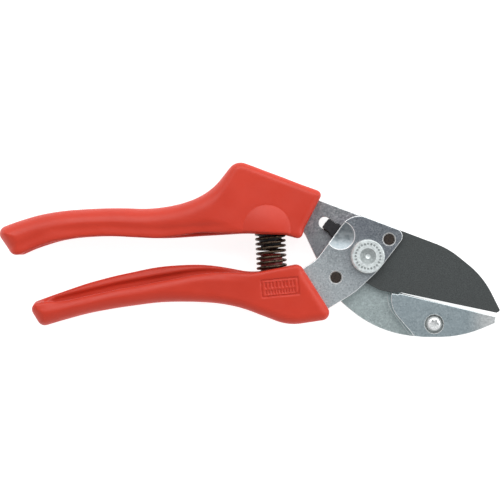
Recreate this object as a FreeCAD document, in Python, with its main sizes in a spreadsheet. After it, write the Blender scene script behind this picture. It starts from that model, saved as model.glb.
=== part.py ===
import FreeCAD, Part
import math
import os
import Sketcher
from FreeCAD import Placement, Rotation, Vector

# Pruning shears with a straight blade closing on an anvil, millimetres.
# +X runs to the jaw tip, +Y to the upper handle, +Z out of the front side; the rear side lies at zero.

SIZES = (
    ("grip_depth", 20.0, "thickness of a coated handle"),
    ("coat_outer", 1.0, "coating outside the steel"),
    ("sheet", 2.5, "steel sheet of both handles"),
    ("coat_inner", 0.4, "coating inside the channel"),
    ("grip_round", 3.0, "rounding of the grip edges"),
    ("rear_plate_low", 4.5, "rear face of the rear head plate"),
    ("blade_low", 7.3, "rear face of the blade"),
    ("blade_thick", 3.0, "thickness of the blade"),
    ("anvil_low", 7.0, "rear face of the anvil"),
    ("anvil_thick", 4.6, "thickness of the anvil"),
    ("bevel_thick", 2.7, "share of the blade thickness taken by the bevel"),
    ("bevel_width", 5.0, "width of the bevel"),
    ("shank_wide", 8.0, "shank diameter of the pivot bolt"),
    ("bore_wide", 8.1, "running bore on the pivot bolt"),
    ("bolt_head_wide", 14.7, "head diameter of the pivot bolt"),
    ("bolt_head_low", 13.3, "rear face of the pivot bolt head"),
    ("bolt_head_high", 2.5, "height of the pivot bolt head"),
    ("washer_wide", 15.9, "diameter of the washer under the bolt head"),
    ("washer_low", 12.85, "rear face of that washer"),
    ("washer_thick", 0.45, "thickness of that washer"),
    ("shim_wide", 14.0, "diameter of the shim behind the blade"),
    ("shim_thick", 0.25, "thickness of the shim"),
    ("nut_flats", 13.0, "width across flats of the pivot nut"),
    ("nut_low", 0.8, "rear face of the pivot nut"),
    ("nut_high", 3.2, "height of the pivot nut"),
    ("split_washer_thick", 0.5, "thickness of the pivot spring washer"),
    ("rivet_wide", 4.8, "diameter of a blade rivet"),
    ("rivet_high", 5.65, "length of a blade rivet"),
    ("rivet_rim", 0.45, "chamfer round a rivet in the front plate"),
    ("screw_wide", 4.0, "shank diameter of the anvil screw"),
    ("screw_head_wide", 7.0, "head diameter of the anvil screw"),
    ("recess_wide", 8.4, "recess round the anvil screw head"),
    ("recess_deep", 1.6, "depth of that recess"),
    ("anvil_nut_flats", 7.0, "width across flats of the anvil nut"),
    ("anvil_nut_high", 2.6, "height of the anvil nut"),
    ("lock_washer_thick", 0.5, "thickness of the anvil lock washer"),
    ("lock_washer_wide", 7.6, "diameter of the anvil lock washer"),
    ("slot_wide", 5.2, "width of the latch slot"),
    ("latch_boss_wide", 5.1, "width of the latch boss in the slot"),
    ("latch_low", 7.3, "rear face of the latch slider"),
    ("latch_thick", 2.7, "thickness of the latch slider"),
    ("button_wide", 9.0, "diameter of the latch button"),
    ("button_low", 1.0, "rear face of the latch button"),
    ("button_high", 2.8, "height of the latch button"),
    ("spring_pocket", 14.2, "width of the hollow round the spring"),
    ("spring_wide", 13.2, "outer diameter of the spring"),
    ("spring_wire", 1.3, "wire diameter of the spring"),
    ("spring_turns", 12.0, "turns of the spring"),
    ("spring_high", 26.0, "length of the open spring"),
    ("peg_wide", 9.0, "diameter of both pegs inside the spring"),
    ("bridge_thick", 2.5, "thickness of the peg feet"),
    ("bridge_wide", 12.0, "width of the peg feet"),
)

VALUES = {alias: value for alias, value, note in SIZES}

PIVOT = (51.7, -2.6)
UPPER_RIVET = (61.2, 4.9)
LOWER_RIVET = (37.8, -11.8)
ANVIL_SCREW = (81.1, -32.4)
SLOT_END = (33.1, 12.3)
SLOT_ANGLE = -37.0
SPRING_CENTRE = (9.3, -1.0)
SPRING_TILT = 3.0
THUMB_DISH = (39.8, 6.1, 6.2, 1.1)
SPRING_DOME = (7.5, 7.4, 11.0, 1.8)
EDGE_ANGLE = 12.0
EDGE_REACH = 12.5
ANVIL_ANGLE = 13.4
ANVIL_REACH = 12.65

# Outlines run counter-clockwise; each corner is X, Y and the radius of its rounding.
UPPER_TOP = (
    (32.0, 25.4, 3.2), (-6.3, 39.7, 6.0), (-17.7, 24.9, 30.0), (-37.5, 18.0, 63.0),
    (-62.0, 18.8, 240.0), (-92.0, 16.9, 96.0), (-111.9, 8.9, 3.5), (-103.4, -3.1, 3.3),
    (-85.9, 4.8, 75.0), (-64.0, 6.5, 120.0),
)
UPPER_REAR_EDGE = ((-38.0, 5.2, 90.0), (-1.0, 7.6, 80.0))
UPPER_FRONT_EDGE = ((-40.0, 5.2, 40.0), (-22.0, 7.7, 40.0), (-4.0, 7.4, 40.0))
UPPER_NOSE = ((15.0, 6.9, 8.0), (22.4, 4.9, 3.2), (23.9, 9.9, 8.0))
LOWER_REAR_EDGE = ((-20.0, -5.6, 90.0), (-42.0, -7.4, 110.0), (-70.0, -13.6, 200.0), (-97.5, -23.5, 3.8))
LOWER_FRONT_EDGE = ((-21.0, -9.2, 60.0), (-58.0, -15.7, 120.0), (-96.2, -25.7, 3.3))
LOWER_NOSE = ((21.9, -5.9, 3.2), (1.0, -9.8, 25.0))
LOWER_BOTTOM = (
    (-91.6, -33.5, 3.2), (-69.5, -26.9, 190.0), (-35.0, -21.9, 125.0), (-7.0, -23.6, 65.0),
    (16.3, -32.9, 22.0), (37.2, -30.0, 3.5),
)


def size(alias):
    return VALUES[alias]


def from_pivot(angle, along, reach):
    """Point given along a line that drops by the angle, and at a distance below the pivot."""
    turn = math.radians(angle)
    x = PIVOT[0] + along * math.cos(turn) - reach * math.sin(turn)
    y = PIVOT[1] - along * math.sin(turn) - reach * math.cos(turn)
    return x, y


def head_top(x):
    """Straight top edge shared by the rear plate and the blade."""
    return 20.6 - 0.3766 * (x - 35.2)


def upper_outline(front):
    edge = UPPER_FRONT_EDGE if front else UPPER_REAR_EDGE
    return UPPER_TOP + edge + UPPER_NOSE


def lower_outline(front):
    edge = LOWER_FRONT_EDGE if front else LOWER_REAR_EDGE
    return LOWER_NOSE + edge + LOWER_BOTTOM


def upper_insets(front, walls, gap):
    open_edges = 7 if front else 6
    return [walls] * 7 + [gap] * open_edges + [walls] * 2


def lower_insets(front, walls, gap):
    open_edges = 4 if front else 5
    return [gap] * open_edges + [walls] * 7


def inset_corners(corners, insets):
    """Moves every side of an outline inward by its own distance and keeps the roundings concentric."""
    count = len(corners)
    sides = []
    for i in range(count):
        x0, y0 = corners[i][:2]
        x1, y1 = corners[(i + 1) % count][:2]
        length = math.hypot(x1 - x0, y1 - y0)
        ux = (x1 - x0) / length
        uy = (y1 - y0) / length
        sides.append((x0 - uy * insets[i], y0 + ux * insets[i], ux, uy))
    moved = []
    for i in range(count):
        ax, ay, aux, auy = sides[i - 1]
        bx, by, bux, buy = sides[i]
        cross = aux * buy - auy * bux
        reach = ((bx - ax) * buy - (by - ay) * bux) / cross
        radius = corners[i][2]
        if insets[i - 1] == insets[i]:
            radius -= math.copysign(insets[i], cross)
        else:
            radius = 0.5
        moved.append((ax + aux * reach, ay + auy * reach, max(radius, 0.4)))
    return moved


def outline_geometry(corners):
    """Lines and arcs of an outline with rounded corners."""
    count = len(corners)
    starts = []
    ends = []
    arcs = []
    for i in range(count):
        x, y, radius = corners[i]
        here = Vector(x, y, 0)
        before = Vector(corners[i - 1][0], corners[i - 1][1], 0) - here
        after = Vector(corners[(i + 1) % count][0], corners[(i + 1) % count][1], 0) - here
        before.normalize()
        after.normalize()
        half = before.getAngle(after) / 2
        reach = radius / math.tan(half)
        starts.append(here + before * reach)
        ends.append(here + after * reach)
        if radius > 0:
            middle = before + after
            middle.normalize()
            centre = here + middle * (radius / math.sin(half))
            first = starts[i] - centre
            last = ends[i] - centre
            angles = [math.atan2(first.y, first.x), math.atan2(last.y, last.x)]
            if first.cross(last).z < 0:
                angles.reverse()
            circle = Part.Circle(centre, Vector(0, 0, 1), radius)
            arcs.append(Part.ArcOfCircle(circle, angles[0], angles[1]))
    lines = []
    for i in range(count):
        following = starts[(i + 1) % count]
        if (following - ends[i]).Length > 1e-6:
            lines.append(Part.LineSegment(ends[i], following))
    return lines + arcs


def new_body(doc, label):
    body = doc.addObject("PartDesign::Body", label)
    body.Label = label
    return body


def new_sketch(body, name, role):
    sketch = body.newObject("Sketcher::SketchObject", name)
    for feature in body.Origin.OriginFeatures:
        if feature.Role == role:
            sketch.AttachmentSupport = (feature, [""])
    sketch.MapMode = "FlatFace"
    return sketch


def flat_sketch(body, name, low):
    """Sketch parallel to the rear side, at a height given by an expression."""
    sketch = new_sketch(body, name, "XY_Plane")
    sketch.setExpression(".AttachmentOffset.Base.z", low)
    return sketch


def add_circle(sketch, x, y, width):
    """Circle whose diameter follows the named size."""
    circle = Part.Circle(Vector(x, y, 0), Vector(0, 0, 1), size(width) / 2)
    index = sketch.addGeometry(circle, False)
    rule = sketch.addConstraint(Sketcher.Constraint("Diameter", index, size(width)))
    sketch.setExpression("Constraints[%d]" % rule, "Sizes." + width)


def add_outline(sketch, corners):
    sketch.addGeometry(outline_geometry(corners), False)


def hexagon(x, y, flats, radius):
    corners = []
    for k in range(6):
        turn = math.radians(60 * k + 30)
        reach = flats / math.sqrt(3)
        corners.append((x + reach * math.cos(turn), y + reach * math.sin(turn), radius))
    return corners


def pad(body, sketch, length):
    feature = body.newObject("PartDesign::Pad", sketch.Name + "_pad")
    feature.Profile = sketch
    feature.setExpression("Length", length)
    sketch.Visibility = False
    return feature


def pocket(body, sketch, length):
    """Pocket that cuts from the sketch toward the front side."""
    feature = body.newObject("PartDesign::Pocket", sketch.Name + "_cut")
    feature.Profile = sketch
    feature.Reversed = True
    feature.setExpression("Length", length)
    sketch.Visibility = False
    return feature


def pad_outline(body, name, corners, low, length):
    sketch = flat_sketch(body, name, low)
    add_outline(sketch, corners)
    return pad(body, sketch, length)


def cut_outline(body, name, corners, low, length):
    sketch = flat_sketch(body, name, low)
    add_outline(sketch, corners)
    return pocket(body, sketch, length)


def cut_circle(body, name, x, y, width, low, length):
    sketch = flat_sketch(body, name, low)
    add_circle(sketch, x, y, width)
    return pocket(body, sketch, length)


def turn_sketch(body, name, x, y, profile):
    """Profile of radius and height, standing on an axis through the point."""
    sketch = new_sketch(body, name, "XZ_Plane")
    sketch.AttachmentOffset = Placement(Vector(x, 0, -y), Rotation())
    sketch.addGeometry(profile, False)
    return sketch


def turned(body, name, x, y, profile, angle=360, kind="Revolution"):
    sketch = turn_sketch(body, name, x, y, profile)
    feature = body.newObject("PartDesign::" + kind, name + "_turn")
    feature.Profile = sketch
    feature.ReferenceAxis = (sketch, ["V_Axis"])
    feature.Angle = angle
    sketch.Visibility = False
    return feature


def polygon(points):
    ring = [Vector(x, y, 0) for x, y in points]
    lines = []
    for i in range(len(ring)):
        lines.append(Part.LineSegment(ring[i - 1], ring[i]))
    return lines


def cap_profile(radius, low, middle_high, rim_high):
    """Half section of a shallow spherical cap or dish."""
    rise = middle_high - rim_high
    sphere = (radius * radius + rise * rise) / (2 * rise)
    centre = Vector(0, middle_high - sphere, 0)
    half = math.asin(radius / abs(sphere))
    circle = Part.Circle(centre, Vector(0, 0, 1), abs(sphere))
    if rise > 0:
        arc = Part.ArcOfCircle(circle, math.pi / 2 - half, math.pi / 2)
    else:
        arc = Part.ArcOfCircle(circle, -math.pi / 2, half - math.pi / 2)
    sides = [
        Part.LineSegment(Vector(0, middle_high, 0), Vector(0, low, 0)),
        Part.LineSegment(Vector(0, low, 0), Vector(radius, low, 0)),
        Part.LineSegment(Vector(radius, low, 0), Vector(radius, rim_high, 0)),
    ]
    return sides + [arc]


def edges_where(shape, test):
    names = []
    for i, edge in enumerate(shape.Edges):
        if test(edge):
            names.append("Edge%d" % (i + 1))
    return names


def lies_at(edge, height):
    box = edge.BoundBox
    return abs(box.ZMin - height) < 1e-4 and abs(box.ZMax - height) < 1e-4


def round_edges(body, base, names, radius):
    feature = body.newObject("PartDesign::Fillet", "Rounding")
    feature.Base = (base, names)
    feature.setExpression("Radius", radius)
    return feature


def spring_hollow(body, name):
    """Cylinder round the spring, cut through a channel along its own axis."""
    sketch = new_sketch(body, name, "XZ_Plane")
    offset = Vector(SPRING_CENTRE[0] - 0.3, size("grip_depth") / 2, 24.5)
    sketch.AttachmentOffset = Placement(offset, Rotation())
    add_circle(sketch, 0, 0, "spring_pocket")
    return sketch


def channel(body, rear, front, walls_rear, walls_front):
    """Steel channel: a full block, then its hollow, open on the side toward the other handle."""
    outer = size("coat_outer")
    inner = size("coat_outer") + size("sheet")
    pad_outline(body, "RearHalf", inset_corners(rear, walls_rear(outer, outer)),
                "Sizes.coat_outer", "Sizes.grip_depth / 2 - Sizes.coat_outer")
    pad_outline(body, "FrontHalf", inset_corners(front, walls_front(outer, outer)),
                "Sizes.grip_depth / 2", "Sizes.grip_depth / 2 - Sizes.coat_outer")
    cut_outline(body, "Hollow", inset_corners(rear, walls_rear(inner, -9)),
                "Sizes.coat_outer + Sizes.sheet",
                "Sizes.grip_depth - 2 * Sizes.coat_outer - 2 * Sizes.sheet")


def coating(doc, body, rear, front, walls_rear, walls_front, dome):
    """Dipped coating: rounded outside, hollow for the steel, and a thin lining inside the channel."""
    outer = size("coat_outer")
    lining = size("coat_outer") + size("sheet")
    hollow = lining + size("coat_inner")
    pad_outline(body, "RearHalf", rear, "0", "Sizes.grip_depth / 2")
    base = pad_outline(body, "FrontHalf", front, "Sizes.grip_depth / 2", "Sizes.grip_depth / 2")
    doc.recompute()
    names = edges_where(base.Shape, lambda e: lies_at(e, 0) or lies_at(e, size("grip_depth")))
    round_edges(body, base, names, "Sizes.grip_round")
    if dome:
        x, y, radius, rise = SPRING_DOME
        top = size("grip_depth")
        turned(body, "Dome", x, y, cap_profile(radius, top - 0.5, top + rise, top), 180)
    cut_outline(body, "SteelRear", inset_corners(rear, walls_rear(outer, outer)),
                "Sizes.coat_outer", "Sizes.grip_depth / 2 - Sizes.coat_outer")
    cut_outline(body, "SteelFront", inset_corners(front, walls_front(outer, outer)),
                "Sizes.grip_depth / 2", "Sizes.grip_depth / 2 - Sizes.coat_outer")
    for name, shape, walls, low in (
        ("LiningRear", rear, walls_rear, "Sizes.coat_outer + Sizes.sheet"),
        ("LiningFront", front, walls_front, "Sizes.grip_depth / 2"),
    ):
        pad_outline(body, name, inset_corners(shape, walls(lining, outer / 2)), low,
                    "Sizes.grip_depth / 2 - Sizes.coat_outer - Sizes.sheet")
    cut_outline(body, "Hollow", inset_corners(rear, walls_rear(hollow, -9)),
                "Sizes.coat_outer + Sizes.sheet + Sizes.coat_inner",
                "Sizes.grip_depth - 2 * (Sizes.coat_outer + Sizes.sheet + Sizes.coat_inner)")


def bore_spring_room(doc, body):
    """Widens the channel walls for the spring and its pegs."""
    sketch = spring_hollow(body, "SpringRoom")
    feature = body.newObject("PartDesign::Pocket", "SpringRoom_cut")
    feature.Profile = sketch
    feature.setExpression("Length", "3 * Sizes.spring_high / 2")
    sketch.Visibility = False
    doc.recompute()
    return feature


def rear_plate_outline():
    return (
        (15.5, head_top(15.5), 2.0), (15.5, 13.8, 2.0), (20.2, 12.4, 2.0), (24.2, 7.4, 6.0),
        (29.8, -4.5, 20.0), (39.5, -22.2, 18.0), (58.7, -38.2, 50.0), (93.3, -38.2, 50.0),
        (104.6, -33.1, 1.0),
        from_pivot(13.4, 56, 13.0) + (1.0,), (65.2, -18.4, 3.0), (67.6, head_top(67.6), 12.0),
    )


def front_plate_outline():
    return (
        (17.5, -11.4, 1.0), (29.0, -28.9, 1.0), (46.0, -18.6, 40.0), (56.5, -8.8, 40.0), (69.2, 7.8, 3.4),
        (44.7, 17.0, 9.0), (29.3, -4.0, 12.0),
    )


def blade_outline():
    return (
        (47.1, head_top(47.1), 1.0), (49.2, 9.2, 0.5), (37.1, 5.7, 12.0), (40.1, -6.2, 2.0),
        (30.6, -10.3, 4.8), (36.3, -19.0, 4.8), (48.5, -12.8, 8.0), (57.6, -17.6, 5.0), (62.4, -18.6, 0.8),
        from_pivot(EDGE_ANGLE, 16.6, EDGE_REACH + 0.5) + (0,),
        from_pivot(EDGE_ANGLE, 16.6, EDGE_REACH) + (0,), from_pivot(EDGE_ANGLE, 61.0, EDGE_REACH) + (0,),
        (110.4, -26.6, 0.8), (102.9, -11.6, 38.0), (87.5, head_top(87.5), 36.0),
    )


def anvil_outline():
    return (
        from_pivot(ANVIL_ANGLE, 17.2, ANVIL_REACH + 0.85) + (0.2,), (62.3, -18.9, 0.3), (62.0, -25.5, 12.0),
        (72.5, -37.75, 0.5), (76.1, -38.2, 15.0), (93.3, -38.2, 50.0), (107.9, -32.0, 1.0),
        from_pivot(ANVIL_ANGLE, 61.2, ANVIL_REACH) + (0.5,),
        from_pivot(ANVIL_ANGLE, 17.4, ANVIL_REACH) + (0.3,),
    )


def slot_corners(start, finish, width):
    """Rounded bar along the latch slot, from one distance to another past the slot's outer end."""
    turn = math.radians(SLOT_ANGLE)
    along = Vector(math.cos(turn), math.sin(turn), 0)
    side = Vector(-along.y, along.x, 0) * (width / 2)
    origin = Vector(SLOT_END[0], SLOT_END[1], 0)
    radius = width / 2 - 0.001
    back = origin + along * (start - width / 2)
    front = origin + along * (finish + width / 2)
    points = (back + side, back - side, front - side, front + side)
    return [(p.x, p.y, radius) for p in points]


def build_upper_frame(doc):
    body = new_body(doc, "upper_frame")
    channel(body, upper_outline(False), upper_outline(True),
            lambda w, g: upper_insets(False, w, g), lambda w, g: upper_insets(True, w, g))
    bore_spring_room(doc, body)
    pad_outline(body, "HeadPlate", rear_plate_outline(), "Sizes.rear_plate_low", "Sizes.sheet")
    cut_circle(body, "PivotBore", PIVOT[0], PIVOT[1], "shank_wide", "0", "Sizes.grip_depth")
    cut_circle(body, "ScrewBore", ANVIL_SCREW[0], ANVIL_SCREW[1], "screw_wide", "0", "Sizes.grip_depth")
    cut_outline(body, "LatchSlot", slot_corners(0, 7.6, size("slot_wide")), "Sizes.rear_plate_low",
                "Sizes.sheet")
    return body


def build_upper_grip(doc):
    body = new_body(doc, "upper_grip")
    coating(doc, body, upper_outline(False), upper_outline(True),
            lambda w, g: upper_insets(False, w, g), lambda w, g: upper_insets(True, w, g), True)
    bore_spring_room(doc, body)
    cut_outline(body, "PlateSlot", rear_plate_outline(), "Sizes.rear_plate_low", "Sizes.sheet")
    return body


def build_lower_frame(doc):
    body = new_body(doc, "lower_frame")
    channel(body, lower_outline(False), lower_outline(True),
            lambda w, g: lower_insets(False, w, g), lambda w, g: lower_insets(True, w, g))
    bore_spring_room(doc, body)
    plate = "Sizes.blade_low + Sizes.blade_thick"
    pad_outline(body, "HeadPlate", front_plate_outline(), plate, "Sizes.sheet")
    cut_circle(body, "PivotBore", PIVOT[0], PIVOT[1], "bore_wide", plate, "Sizes.sheet")
    cut_circle(body, "UpperRivetBore", UPPER_RIVET[0], UPPER_RIVET[1], "rivet_wide", plate, "Sizes.sheet")
    last = cut_circle(body, "LowerRivetBore", LOWER_RIVET[0], LOWER_RIVET[1], "rivet_wide", plate,
                      "Sizes.sheet")
    doc.recompute()
    front = size("blade_low") + size("blade_thick") + size("sheet")
    rims = edges_where(last.Shape, lambda e: lies_at(e, front) and abs(e.Length - math.pi * 4.8) < 0.01)
    rim = body.newObject("PartDesign::Chamfer", "RivetRims")
    rim.Base = (last, rims)
    rim.setExpression("Size", "Sizes.rivet_rim")
    x, y, radius, deep = THUMB_DISH
    turned(body, "ThumbDish", x, y, cap_profile(radius, front + 1, front - deep, front), 360, "Groove")
    return body


def build_lower_grip(doc):
    body = new_body(doc, "lower_grip")
    coating(doc, body, lower_outline(False), lower_outline(True),
            lambda w, g: lower_insets(False, w, g), lambda w, g: lower_insets(True, w, g), False)
    bore_spring_room(doc, body)
    cut_outline(body, "PlateSlot", front_plate_outline(), "Sizes.blade_low + Sizes.blade_thick",
                "Sizes.sheet")
    return body


def cut_bevel(body):
    """Wedge taken off the rear of the blade along its straight cutting edge."""
    turn = math.radians(EDGE_ANGLE)
    inward = Vector(math.sin(turn), math.cos(turn), 0)
    forward = Vector(math.cos(turn), -math.sin(turn), 0)
    x, y = from_pivot(EDGE_ANGLE, 18.0, EDGE_REACH)
    sketch = new_sketch(body, "CuttingBevel", "XY_Plane")
    spin = Rotation(inward, Vector(0, 0, 1), forward, "ZXY")
    sketch.AttachmentOffset = Placement(Vector(x, y, size("blade_low")), spin)
    wide = size("bevel_width")
    thick = size("bevel_thick")
    sketch.addGeometry(polygon(((wide, 0), (wide, -0.5), (-1, -0.5), (-1, thick + thick / wide))), False)
    return pocket(body, sketch, "60")


def build_blade(doc):
    body = new_body(doc, "blade")
    pad_outline(body, "Outline", blade_outline(), "Sizes.blade_low", "Sizes.blade_thick")
    cut_circle(body, "PivotBore", PIVOT[0], PIVOT[1], "bore_wide", "Sizes.blade_low", "Sizes.blade_thick")
    cut_circle(body, "UpperRivetBore", UPPER_RIVET[0], UPPER_RIVET[1], "rivet_wide", "Sizes.blade_low",
               "Sizes.blade_thick")
    cut_circle(body, "LowerRivetBore", LOWER_RIVET[0], LOWER_RIVET[1], "rivet_wide", "Sizes.blade_low",
               "Sizes.blade_thick")
    cut_bevel(body)
    return body


def build_rivet(doc, label, place):
    body = new_body(doc, label)
    sketch = flat_sketch(body, "Shank", "0")
    add_circle(sketch, 0, 0, "rivet_wide")
    pad(body, sketch, "Sizes.rivet_high")
    body.Placement = Placement(Vector(place[0], place[1], size("blade_low")), Rotation())
    return body


def build_anvil(doc):
    body = new_body(doc, "anvil")
    pad_outline(body, "Outline", anvil_outline(), "Sizes.anvil_low", "Sizes.anvil_thick")
    cut_circle(body, "ScrewBore", ANVIL_SCREW[0], ANVIL_SCREW[1], "screw_wide", "Sizes.anvil_low",
               "Sizes.anvil_thick")
    cut_circle(body, "HeadRecess", ANVIL_SCREW[0], ANVIL_SCREW[1], "recess_wide",
               "Sizes.anvil_low + Sizes.anvil_thick - Sizes.recess_deep", "Sizes.recess_deep")
    return body


def star(points, outer, inner, radius):
    corners = []
    for k in range(2 * points):
        turn = math.pi * k / points
        reach = inner if k % 2 else outer
        corners.append((reach * math.cos(turn), reach * math.sin(turn), radius))
    return corners


def build_anvil_screw(doc):
    body = new_body(doc, "anvil_screw")
    length = size("anvil_low") + size("anvil_thick") - size("recess_deep") - 1.2
    profile = polygon(((0, 0), (size("screw_wide") / 2, 0), (size("screw_wide") / 2, length),
                       (size("screw_head_wide") / 2, length), (size("screw_head_wide") / 2, length + 1.2),
                       (size("screw_head_wide") / 2 - 0.7, length + 1.9), (0, length + 2.1)))
    turned(body, "ScrewShape", 0, 0, profile)
    cut_outline(body, "StarRecess", star(6, 2.1, 1.45, 0.3), "%f" % (length + 0.7), "2")
    body.Placement = Placement(Vector(ANVIL_SCREW[0], ANVIL_SCREW[1], 1.2), Rotation())
    return body


def build_anvil_nut(doc):
    body = new_body(doc, "anvil_nut")
    pad_outline(body, "Hexagon", hexagon(0, 0, size("anvil_nut_flats"), 0.2), "0", "Sizes.anvil_nut_high")
    cut_circle(body, "Bore", 0, 0, "screw_wide", "0", "Sizes.anvil_nut_high")
    low = size("rear_plate_low") - size("lock_washer_thick") - size("anvil_nut_high")
    body.Placement = Placement(Vector(ANVIL_SCREW[0], ANVIL_SCREW[1], low), Rotation())
    return body


def build_ring(doc, label, outer, inner, thick, place, low):
    body = new_body(doc, label)
    sketch = flat_sketch(body, "Disc", "0")
    add_circle(sketch, 0, 0, outer)
    add_circle(sketch, 0, 0, inner)
    pad(body, sketch, thick)
    body.Placement = Placement(Vector(place[0], place[1], low), Rotation())
    return body


def build_split_ring(doc, label, outer, inner, thick, place, low):
    body = build_ring(doc, label, outer, inner, thick, place, low)
    reach = size(outer)
    gap = ((0, -0.3, 0.01), (reach, -0.3, 0.01), (reach, 0.3, 0.01), (0, 0.3, 0.01))
    cut_outline(body, "Split", gap, "0", thick)
    return body


def build_pivot_bolt(doc):
    body = new_body(doc, "pivot_bolt")
    shank = size("shank_wide") / 2
    head = size("bolt_head_wide") / 2
    low = size("bolt_head_low") - 0.4
    top = low + size("bolt_head_high")
    profile = polygon(((0, 0), (shank, 0), (shank, low), (head, low), (head, top - 0.6), (head - 0.6, top),
                       (2.6, top), (1.6, top - 0.5), (0, top - 0.9)))
    turned(body, "BoltShape", 0, 0, profile)
    sketch = flat_sketch(body, "Dots", "%f" % (top - 0.2))
    dots = 24
    for k in range(dots):
        turn = 2 * math.pi * k / dots
        place = Vector(5.2 * math.cos(turn), 5.2 * math.sin(turn), 0)
        sketch.addGeometry(Part.Circle(place, Vector(0, 0, 1), 0.35), False)
    pocket(body, sketch, "0.4")
    body.Placement = Placement(Vector(PIVOT[0], PIVOT[1], 0.4), Rotation())
    return body


def build_pivot_nut(doc):
    body = new_body(doc, "pivot_nut")
    pad_outline(body, "Hexagon", hexagon(0, 0, size("nut_flats"), 0.3), "0", "Sizes.nut_high")
    cut_circle(body, "Bore", 0, 0, "shank_wide", "0", "Sizes.nut_high")
    body.Placement = Placement(Vector(PIVOT[0], PIVOT[1], size("nut_low")), Rotation())
    return body


def spring_placement(along):
    """Local +Z points up the spring axis, from the lower handle to the upper one."""
    tilt = Rotation(Vector(0, 0, 1), SPRING_TILT)
    turn = tilt.multiply(Rotation(Vector(1, 0, 0), -90))
    centre = Vector(SPRING_CENTRE[0], SPRING_CENTRE[1], size("grip_depth") / 2)
    return Placement(centre + turn.multVec(Vector(0, 0, along)), turn)


def build_return_spring(doc):
    """Open coil with closed flat end turns, swept along a helix."""
    wire = size("spring_wire") / 2
    mean = size("spring_wide") / 2 - wire
    high = size("spring_high")
    pitch = high / size("spring_turns")
    helix = Part.makeHelix(pitch, high, mean)
    start = Part.Circle(Vector(mean, 0, 0), Vector(0, 1, 0), wire)
    profile = Part.Wire([start.toShape()])
    shell = Part.Wire(helix).makePipeShell([profile], True, True)
    feature = doc.addObject("Part::Feature", "return_spring")
    feature.Label = "return_spring"
    feature.Shape = shell
    feature.Placement = spring_placement(-high / 2)
    return feature


def build_peg(doc, label, foot, tip, bevel):
    """Peg inside the spring, standing on a foot that bridges the channel walls."""
    body = new_body(doc, label)
    radius = size("peg_wide") / 2
    profile = polygon(((0, 0), (radius, 0), (radius, tip - bevel), (radius - bevel, tip), (0, tip)))
    turned(body, "PegShape", 0, 0, profile)
    inside = size("grip_depth") / 2 - size("coat_outer") - size("sheet") - size("coat_inner")
    half = size("bridge_wide") / 2
    block = ((-half, -inside, 0.5), (half, -inside, 0.5), (half, inside, 0.5), (-half, inside, 0.5))
    pad_outline(body, "Foot", block, "-Sizes.bridge_thick", "Sizes.bridge_thick")
    place = spring_placement(foot)
    if foot > 0:
        place = place.multiply(Placement(Vector(0, 0, 0), Rotation(Vector(1, 0, 0), 180)))
    body.Placement = place
    return body


def build_latch_slider(doc):
    """Slider between the head plates, with a boss that passes through the slot."""
    body = new_body(doc, "latch_slider")
    turn = math.radians(SLOT_ANGLE)
    along = Vector(math.cos(turn), math.sin(turn), 0)
    side = Vector(-along.y, along.x, 0)
    origin = Vector(SLOT_END[0], SLOT_END[1], 0)
    wide = 3.2
    narrow = 2.3
    corners = []
    for reach, half, radius in ((0.2, narrow, 0.4), (4.0, narrow, 0.4), (4.6, wide, 0.4), (8.6, wide, 0.8)):
        point = origin + along * reach - side * half
        corners.append((point.x, point.y, radius))
    for reach, half, radius in ((8.6, wide, 0.8), (4.6, wide, 0.4), (4.0, narrow, 0.4), (0.2, narrow, 0.4)):
        point = origin + along * reach + side * half
        corners.append((point.x, point.y, radius))
    pad_outline(body, "SliderBar", corners, "Sizes.latch_low", "Sizes.latch_thick")
    pad_outline(body, "Boss", slot_corners(2.7, 7.5, size("latch_boss_wide")),
                "Sizes.button_low + Sizes.button_high",
                "Sizes.latch_low - Sizes.button_low - Sizes.button_high")
    return body


def latch_centre():
    turn = math.radians(SLOT_ANGLE)
    return SLOT_END[0] + 5.1 * math.cos(turn), SLOT_END[1] + 5.1 * math.sin(turn)


def build_latch_button(doc):
    body = new_body(doc, "latch_button")
    radius = size("button_wide") / 2
    high = size("button_high")
    profile = polygon(((0, 0), (radius - 0.8, 0), (radius, 0.8), (radius, high), (0, high)))
    turned(body, "ButtonShape", 0, 0, profile)
    x, y = latch_centre()
    body.Placement = Placement(Vector(x, y, size("button_low")), Rotation())
    return body


def write_parts(doc, parts):
    for item in doc.Objects:
        if "Invalid" in item.State or "Error" in item.State:
            raise RuntimeError("feature failed: " + item.Name + " " + str(item.State))
    os.makedirs("parts", exist_ok=True)
    for part in parts:
        shape = part.Shape
        if shape.isNull() or not shape.isValid() or len(shape.Solids) != 1:
            raise RuntimeError("bad shape: " + part.Label)
        shape.exportStep("parts/" + part.Label + ".step")
        box = shape.BoundBox
        print("%-22s volume %9.1f  x %.1f..%.1f y %.1f..%.1f z %.2f..%.2f" % (
            part.Label, shape.Volume, box.XMin, box.XMax, box.YMin, box.YMax, box.ZMin, box.ZMax))


def fill_sheet(doc):
    sheet = doc.addObject("Spreadsheet::Sheet", "Sizes")
    for row, (alias, value, note) in enumerate(SIZES, start=1):
        sheet.set("A%d" % row, note)
        sheet.set("B%d" % row, str(value))
        sheet.setAlias("B%d" % row, alias)
    doc.recompute()


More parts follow.
